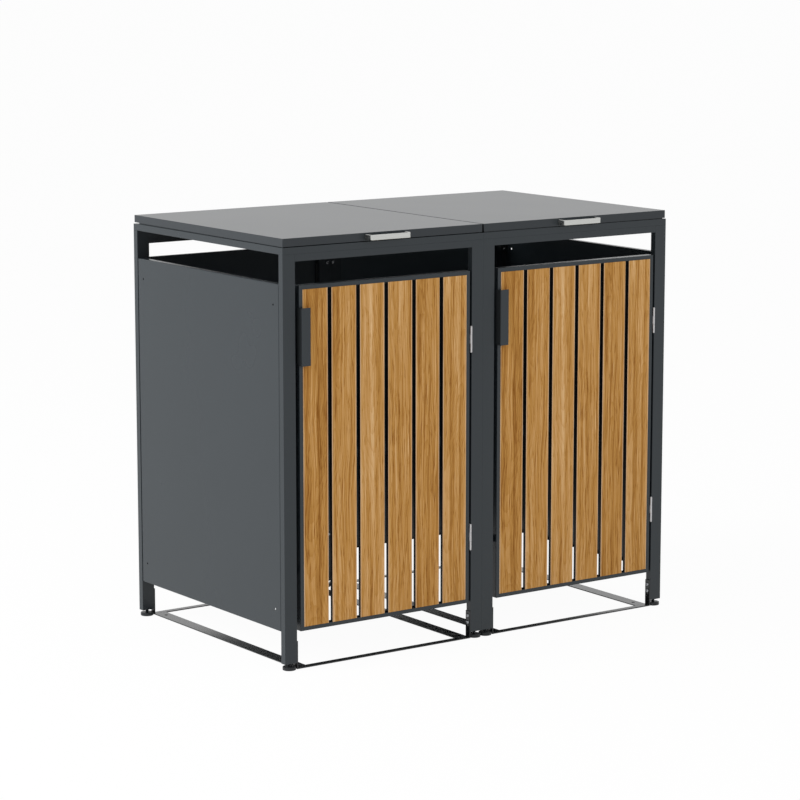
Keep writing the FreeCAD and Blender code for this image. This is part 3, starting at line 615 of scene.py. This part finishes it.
def slat(side, number):
    """A folded channel with a wood-look film on its front and a dark back and sides."""
    node = f"door_slat_{side}_{number}"
    low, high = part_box(node)
    outline = channel_outline(low, high)
    shape = bmesh.new()
    bottom, top = [[shape.verts.new((x, y, z)) for x, y in outline] for z in (low.z, high.z)]
    count = len(outline)
    for index in range(count):
        after = (index + 1) % count
        shape.faces.new((bottom[index], bottom[after], top[after], top[index]))
    shape.faces.new(list(reversed(bottom)))
    shape.faces.new(top)
    bmesh.ops.recalc_face_normals(shape, faces=shape.faces)
    paint(shape, lambda face: FIRST if face.normal.y < -SLAT_SQUARE else SECOND)
    grain = shape.verts.layers.float_vector.new("grain")
    tone = shape.verts.layers.float.new("tone")
    middle = (low.x + high.x) / 2
    for vert in shape.verts:
        vert[grain] = Vector((vert.co.x - middle, number * PRINT_STEP, vert.co.z))
        vert[tone] = SLAT_TONES[number - 1]
    add_piece(node, shape, (WOOD, SLAT_COAT))


# Turned and hexagonal pieces

def hex_radius(flat, angle):
    """The distance to the side of a hexagon whose flats are that far from its middle."""
    sector = FULL_TURN / HEX
    return flat / math.cos((angle % sector) - sector / 2)


def rounds(pairs, material):
    """Round rows of a turning, from pairs of height and radius."""
    return [(height, radius, False, material) for height, radius in pairs]


def hexes(pairs, material):
    """Hexagonal rows of a turning, from pairs of height and distance to the flats."""
    return [(height, radius, True, material) for height, radius in pairs]


def turned(shape, rows, at, axis, steps=24):
    """Add a closed ring-shaped or solid turning: rows of height, radius, whether hexagonal, and material."""
    turn = Vector((0, 0, 1)).rotation_difference(Vector(axis)).to_matrix().to_4x4()
    where = Matrix.Translation(at) @ turn
    rings = []
    for height, radius, hexagonal, _ in rows:
        if radius == 0:
            rings.append([shape.verts.new(where @ Vector((0, 0, height)))])
            continue
        ring = []
        for step in range(steps):
            angle = FULL_TURN * step / steps
            reach = hex_radius(radius, angle) if hexagonal else radius
            spot = Vector((reach * math.cos(angle), reach * math.sin(angle), height))
            ring.append(shape.verts.new(where @ spot))
        rings.append(ring)
    for lower, upper, (*_, material) in zip(rings, rings[1:], rows[1:]):
        for step in range(steps):
            after = (step + 1) % steps
            corners = [lower[step % len(lower)], lower[after % len(lower)],
                       upper[after % len(upper)], upper[step % len(upper)]]
            corners = list(dict.fromkeys(corners))
            shape.faces.new(corners).material_index = material


def islands(shape):
    """The points of each separate solid of a bmesh."""
    left = set(shape.verts)
    while left:
        island, fresh = set(), {left.pop()}
        while fresh:
            island |= fresh
            fresh = {edge.other_vert(vert) for vert in fresh for edge in vert.link_edges} - island
        left -= island
        yield [vert.co.copy() for vert in island]


def fastener_place(spots):
    """Where a screw, bolt or nut is: its seat, the way its head points, its sizes."""
    low = Vector([min(spot[axis] for spot in spots) for axis in range(3)])
    high = Vector([max(spot[axis] for spot in spots) for axis in range(3)])
    size = high - low
    # Its middle line runs along the axis across which it is as wide as it is high
    others = [(size[(axis + 1) % 3], size[(axis + 2) % 3]) for axis in range(3)]
    misfits = [abs(first - second) for first, second in others]
    axis = misfits.index(min(misfits))
    radius = max(others[axis]) / 2
    middle = (low + high) / 2
    rim = []
    for spot in spots:
        off_line = spot - middle
        off_line[axis] = 0
        if off_line.length > HEAD_POINTS * radius:
            rim.append(spot[axis])
    head_low, head_high = min(rim), max(rim)
    at_top = high[axis] - head_high < head_low - low[axis]
    way = Vector((0, 0, 0))
    way[axis] = 1 if at_top else -1
    seat = middle.copy()
    seat[axis] = head_low if at_top else head_high
    head = head_high - head_low
    return {"seat": seat, "way": way, "radius": radius, "head": head, "long": size[axis] - head}


def fastener_places(node):
    shape = welded(node)
    found = [fastener_place(spots) for spots in islands(shape)]
    shape.free()
    return sorted(found, key=lambda item: tuple(round(part, 5) for part in item["seat"]))


def button_head(shape, item, shank, material):
    """A domed head with a hexagonal socket, and its shank."""
    radius = item["radius"]
    head = item["head"]
    end = -item["long"]
    socket = radius * HEAD_SOCKET
    brim = socket * HEAD_BRIM
    rows = rounds([(end, 0), (end, shank * SHANK_END), (end + shank * SHANK_CHAMFER, shank), (0, shank),
                   (0, radius * HEAD_FOOT), (head * HEAD_RIM, radius)], material)
    for angle in DOME_ANGLES:
        up = HEAD_RIM + (1 - HEAD_RIM) * math.sin(math.radians(angle))
        out = brim + (radius - brim) * math.cos(math.radians(angle))
        rows += rounds([(head * up, out)], material)
    rows += rounds([(head, socket * SOCKET_MOUTH)], material)
    rows += hexes([(head * up, socket * out) for up, out in SOCKET_WALLS], material)
    rows += rounds([(head * SOCKET_FLOOR, 0)], material)
    turned(shape, rows, item["seat"], item["way"])


def hex_nut(shape, item, bore, material):
    """A nut with chamfered corners round a threaded end."""
    flat = item["radius"] * math.cos(math.pi / HEX)
    high = item["head"]
    rows = rounds([(0, bore), (0, flat * NUT_FACE)], material)
    rows += hexes([(high * up, flat) for up in NUT_CHAMFERS], material)
    rows += rounds([(high, flat * NUT_FACE)], material)
    rows += rounds([(high * up, bore * out) for up, out in NUT_MOUTH], material)
    rows += rounds([(0, bore)], material)
    turned(shape, rows, item["seat"], item["way"])


def fasteners(node, shank, black_heads):
    """Detailed screws, bolts and nuts in the places of a group's plain ones."""
    shape = bmesh.new()
    for item in fastener_places(node):
        material = SECOND if item["radius"] < black_heads else FIRST
        make = hex_nut if item["long"] < item["head"] * NUT_LIMIT else button_head
        make(shape, item, shank, material)
    bmesh.ops.recalc_face_normals(shape, faces=shape.faces)
    add_piece(node, shape, (ZINC_PLATE, BLACK_PLATE))


def foot(node):
    """A levelling foot: moulded plate with a rounded rim, and a threaded stem."""
    low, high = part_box(node)
    at = Vector(((low.x + high.x) / 2, (low.y + high.y) / 2, low.z))
    radius = (high.x - low.x) / 2
    rows = rounds([(0, 0)], FIRST)
    rows += rounds([(up * MM, radius - inside * MM) for up, inside in FOOT_PROFILE], FIRST)
    rows += rounds([(FOOT_TOP, FOOT_CROWN_RADIUS), (FOOT_TOP, STEM_RADIUS + STEM_ROOM)], FIRST)
    height = THREAD_LOW
    top = high.z - low.z
    while height < top - THREAD_PITCH:
        rows += rounds([(height, STEM_RADIUS - THREAD_DEEP)], SECOND)
        rows += rounds([(height + THREAD_PITCH / 2, STEM_RADIUS)], SECOND)
        height += THREAD_PITCH
    rows += rounds([(top - down, STEM_RADIUS - inside) for down, inside in STEM_END], SECOND)
    rows += rounds([(top, 0)], SECOND)
    shape = bmesh.new()
    turned(shape, rows, at, (0, 0, 1), FOOT_STEPS)
    bmesh.ops.recalc_face_normals(shape, faces=shape.faces)
    add_piece(node, shape, (FOOT_PLASTIC, STEM_PLATE))


for side in SIDES:
    for number in range(1, SLATS + 1):
        slat(side, number)
    for row in ROWS:
        coated(f"{row}_posts_{side}", "frame_steel", TUBE_EDGES, COAT, COAT_EDGE_HIGHLIGHT)
    coated(f"top_frame_{side}", "frame_steel", RING_EDGES, COAT, COAT_EDGE_HIGHLIGHT)
    low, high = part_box(f"side_panel_{side}")
    panel(f"side_panel_{side}", X_AXIS, low.x if side == "left" else high.x, SIDE_JOINTS)
    low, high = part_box(f"rear_panel_{side}")
    panel(f"rear_panel_{side}", Y_AXIS, high.y, REAR_JOINTS)
    lid(f"lid_{side}", 1 if side == "left" else -1)
    coated(f"door_frame_{side}", "door_steel", DOOR_EDGES, COAT, COAT_EDGE_HIGHLIGHT)
    pull(f"door_pull_{side}")
    for row in ROWS:
        coated(f"ground_strip_{row}_{side}", "frame_steel", STRIP_EDGES, STRIP_COAT)
    coated(f"lid_grip_{side}", "satin_steel", GRIP_EDGES, GRIP_STEEL)
    for leaves in (f"lid_hinge_lid_leaves_{side}", f"door_hinge_door_leaves_{side}"):
        coated(leaves, "satin_steel", HINGE_EDGES, HINGE_STEEL)

for number in range(1, POSTS_A_ROW + 1):
    coated(f"ground_strip_side_{number}", "frame_steel", STRIP_EDGES, STRIP_COAT)
    for row in ROWS:
        foot(f"foot_{row}_{number}")

coated("frame_rails", "frame_steel", TUBE_EDGES, COAT, COAT_EDGE_HIGHLIGHT)
for leaves in ("lid_hinge_frame_leaves", "door_hinge_post_leaves"):
    coated(leaves, "satin_steel", HINGE_EDGES, HINGE_STEEL)
for pins in ("lid_hinge_pins", "door_hinge_pins"):
    frame["nodes"][pins].data.materials[0] = HINGE_STEEL
frame["nodes"]["lid_buffers"].data.materials[0] = BUFFER_RUBBER
coated("door_catches", "catch_plastic", CATCH_EDGES, CATCH_PLASTIC)
fasteners("ground_strip_bolts", BOLT_SHANK, NO_HEADS)
fasteners("frame_bolts", BOLT_SHANK, ALL_HEADS)
fasteners("panel_screws", SCREW_SHANK, SMALL_HEADS)


# Floor, light and camera

def seen_white(tree, level):
    """1 where a ray comes from the camera, a mirror or glass, times a level."""
    rays = put(tree, "ShaderNodeLightPath", {})
    camera_or_gloss = maths(tree, "MAXIMUM", rays.outputs["Is Camera Ray"], rays.outputs["Is Glossy Ray"])
    any_of_them = maths(tree, "MAXIMUM", camera_or_gloss, rays.outputs["Is Transmission Ray"])
    return maths(tree, "MULTIPLY", any_of_them, level)


def make_floor():
    shape = bmesh.new()
    corners = ((-1, -1), (1, -1), (1, 1), (-1, 1))
    shape.faces.new([shape.verts.new((x * FLOOR_HALF, y * FLOOR_HALF, 0.0)) for x, y in corners])
    mesh = bpy.data.meshes.new("floor")
    shape.to_mesh(mesh)
    shape.free()
    floor = bpy.data.objects.new("floor", mesh)
    bpy.context.scene.collection.objects.link(floor)
    material, tree, surface = new_shader("pale_floor")
    surface.inputs["Base Color"].default_value = (FLOOR_TONE, FLOOR_TONE, FLOOR_TONE, 1.0)
    surface.inputs["Roughness"].default_value = FLOOR_ROUGH
    surface.inputs["Specular IOR Level"].default_value = 0.0
    glow = put(tree, "ShaderNodeEmission", {"Color": linear(WHITE), "Strength": 1.0})
    inputs = {"Fac": seen_white(tree, FLOOR_SEEN), 1: surface.outputs["BSDF"], 2: glow.outputs["Emission"]}
    mixed = put(tree, "ShaderNodeMixShader", inputs)
    tree.links.new(mixed.outputs["Shader"], tree.nodes["Material Output"].inputs["Surface"])
    mesh.materials.append(material)


def make_world():
    world = bpy.data.worlds.new("studio")
    world.use_nodes = True
    tree = world.node_tree
    background = tree.nodes["Background"]
    background.inputs["Color"].default_value = linear(WHITE)
    strength = maths(tree, "ADD", seen_white(tree, 1.0 - AMBIENT), AMBIENT)
    tree.links.new(strength, background.inputs["Strength"])
    bpy.context.scene.world = world


def area_light(name, place, power):
    """A round lamp that lights the object and isn't mirrored in it."""
    lamp = bpy.data.lights.new(name, "AREA")
    lamp.shape = "DISK"
    lamp.size = LAMP_SIZE
    lamp.energy = power
    thing = bpy.data.objects.new(name, lamp)
    thing.location = place
    thing.visible_glossy = False
    thing.rotation_euler = (Vector(LAMP_TARGET) - Vector(place)).to_track_quat("-Z", "Y").to_euler()
    bpy.context.scene.collection.objects.link(thing)


def make_camera():
    lens = bpy.data.cameras.new("camera")
    lens.sensor_width = SENSOR
    lens.lens = CAMERA_LENS
    camera = bpy.data.objects.new("camera", lens)
    camera.location = CAMERA_PLACE
    camera.rotation_euler = (math.radians(90 - CAMERA_TILT), 0.0, math.radians(-CAMERA_TURN))
    bpy.context.scene.collection.objects.link(camera)
    bpy.context.scene.camera = camera


make_floor()
make_world()
for name, place, power in LAMPS:
    area_light(name, place, power)
make_camera()
bpy.context.scene.view_settings.view_transform = "Standard"
